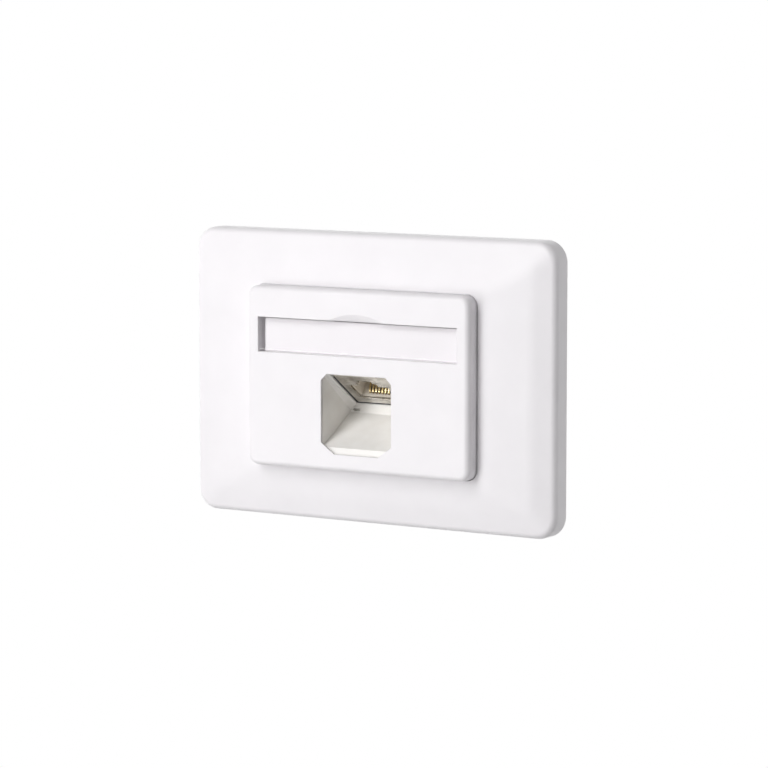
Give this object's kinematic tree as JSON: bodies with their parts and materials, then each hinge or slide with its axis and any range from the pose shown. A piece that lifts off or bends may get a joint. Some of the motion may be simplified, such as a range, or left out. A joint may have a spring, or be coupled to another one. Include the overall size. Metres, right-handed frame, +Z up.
{
  "type": "ethernet wall socket",
  "caption": "Flush wall outlet for network cable: bevelled white cover frame, raised plate with label window and a shielded jack angled down in a die-cast chute.",
  "frame": {"origin": "middle of the mounting plate's back, on the wall plane, between the two fixing slots", "axes": "+X to the right as seen from the room, +Y into the wall, +Z up"},
  "size_m": [0.116, 0.0326, 0.08],
  "materials": {
    "white_plastic": "satin",
    "clear_plastic": "polished",
    "label_paper": "matte",
    "zinc_casting": "satin",
    "plated_steel": "satin",
    "nickel_sheet": "satin",
    "spring_steel": "satin",
    "grey_plastic": "matte",
    "dark_plastic": "matte",
    "gold_contact": "polished",
    "tinned_bronze": "satin",
    "board_green": "satin"
  },
  "bodies": {
    "socket": {"cover_frame": "white_plastic", "centre_plate": "white_plastic", "label_strip": "label_paper", "chute_housing": "zinc_casting", "rear_cap": "zinc_casting", "mounting_plate": "plated_steel", "housing_screws": "plated_steel", "clamp_screws": "plated_steel", "cable_clamp": "plated_steel", "jack_shield": "nickel_sheet", "retaining_clip": "spring_steel", "jack_insert": "grey_plastic", "terminal_block": "dark_plastic", "wire_guide": "dark_plastic", "module_housing": "dark_plastic", "contact_1": "gold_contact", "contact_2": "gold_contact", "contact_3": "gold_contact", "contact_4": "gold_contact", "contact_5": "gold_contact", "contact_6": "gold_contact", "contact_7": "gold_contact", "contact_8": "gold_contact", "terminal_1": "tinned_bronze", "terminal_2": "tinned_bronze", "terminal_3": "tinned_bronze", "terminal_4": "tinned_bronze", "terminal_5": "tinned_bronze", "terminal_6": "tinned_bronze", "terminal_7": "tinned_bronze", "terminal_8": "tinned_bronze", "circuit_board": "board_green"},
    "label_window": {"label_cover": "clear_plastic"}
  },
  "joints": [
    {"name": "label_window_tilt", "type": "hinge", "parent": "socket", "child": "label_window", "pos_m": [0, -0.01285, 0.00765], "axis": [1, 0, 0], "range_deg": [0, 75]}
  ]
}
